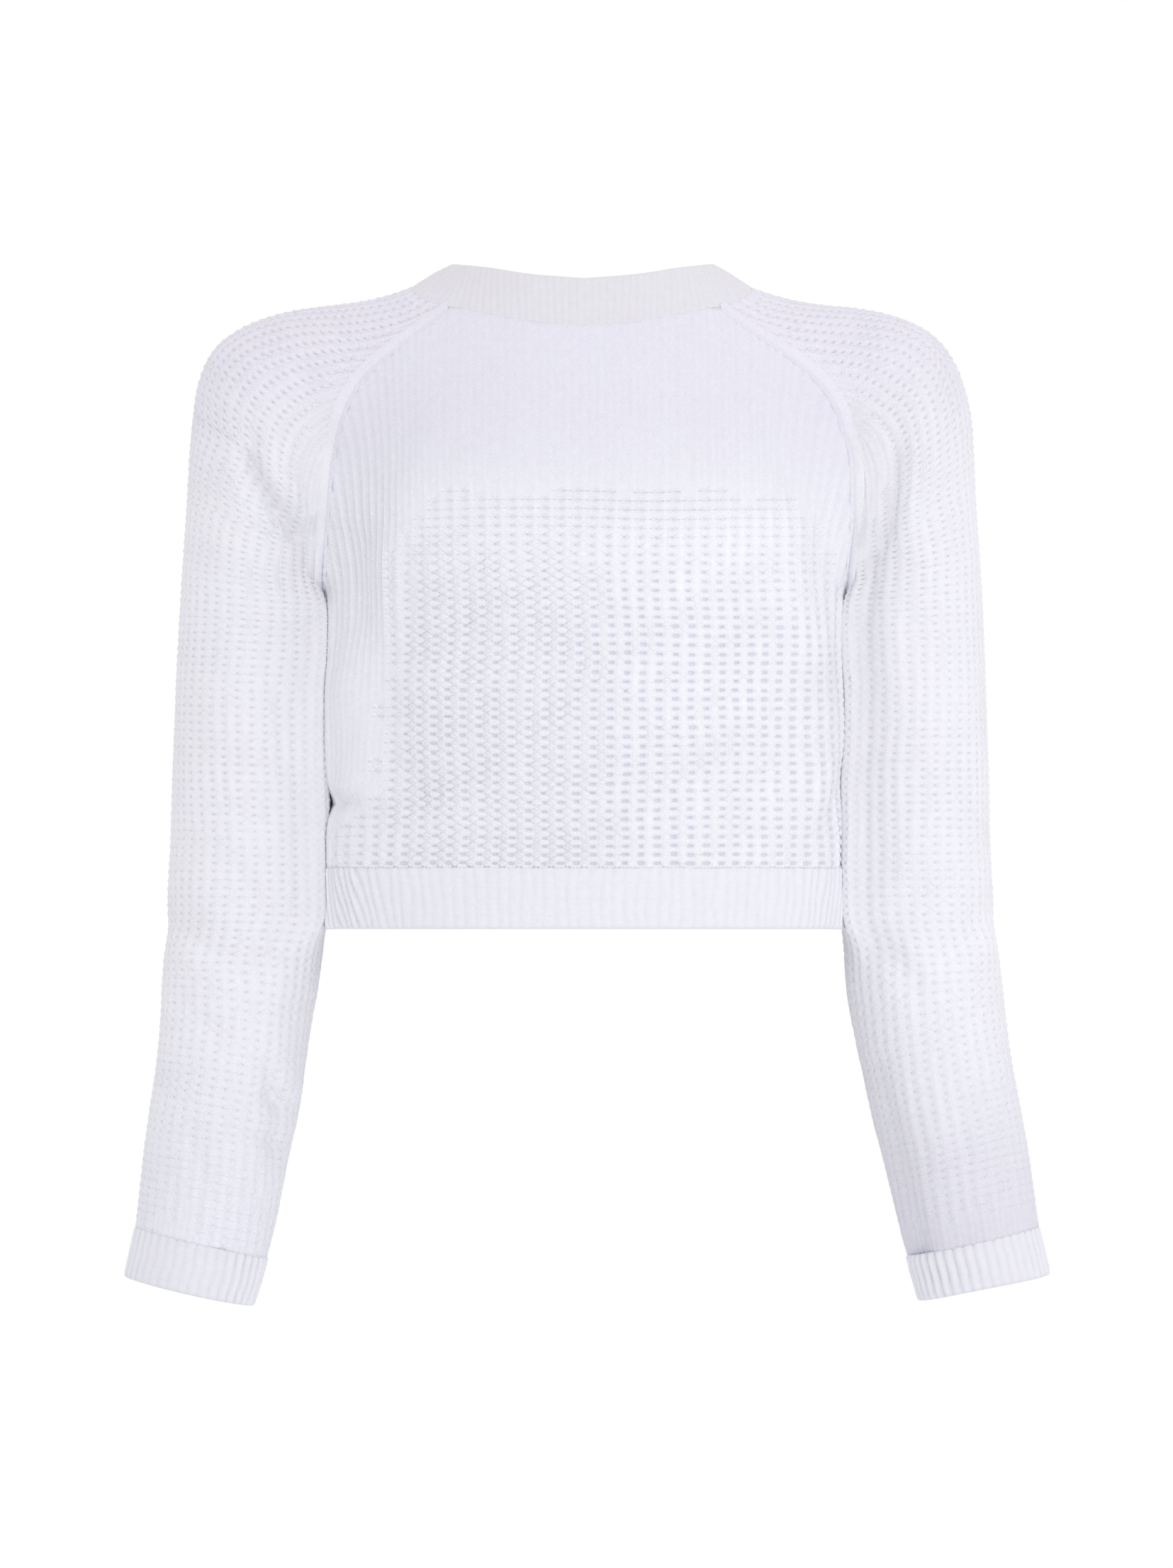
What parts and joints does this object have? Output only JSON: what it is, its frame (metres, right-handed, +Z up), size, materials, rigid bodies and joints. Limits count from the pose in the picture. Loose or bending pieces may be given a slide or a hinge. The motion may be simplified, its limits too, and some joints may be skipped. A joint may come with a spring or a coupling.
{
  "type": "cropped knit sweater",
  "caption": "Hollow worn form of a cropped, long-sleeved raglan sweater in white openwork rib knit, with a ribbed crew neckband, hem band and cuffs.",
  "frame": {"origin": "between the shoulder tops, on the garment's centre line, where the wearer's shoulders carry it", "axes": "+Z up along the wearer's body, -Y out of the front panel, +X to the right as seen from the front"},
  "size_m": [0.5226, 0.2273, 0.5874],
  "materials": {
    "body_knit": "matte openwork rib knit, soft white with a faint lavender cast",
    "sleeve_knit": "matte openwork rib knit, soft white with a faint lavender cast",
    "neck_rib": "matte fine rib, soft ivory white",
    "hem_rib": "matte thick rib",
    "cuff_rib": "matte thick rib"
  },
  "bodies": {
    "root": {"front_panel": "body_knit", "back_panel": "body_knit", "sleeve_left": "sleeve_knit", "sleeve_right": "sleeve_knit", "neckband": "neck_rib", "hem_rib_front": "hem_rib", "hem_rib_back": "hem_rib", "cuff_left": "cuff_rib", "cuff_right": "cuff_rib"}
  },
  "joints": []
}
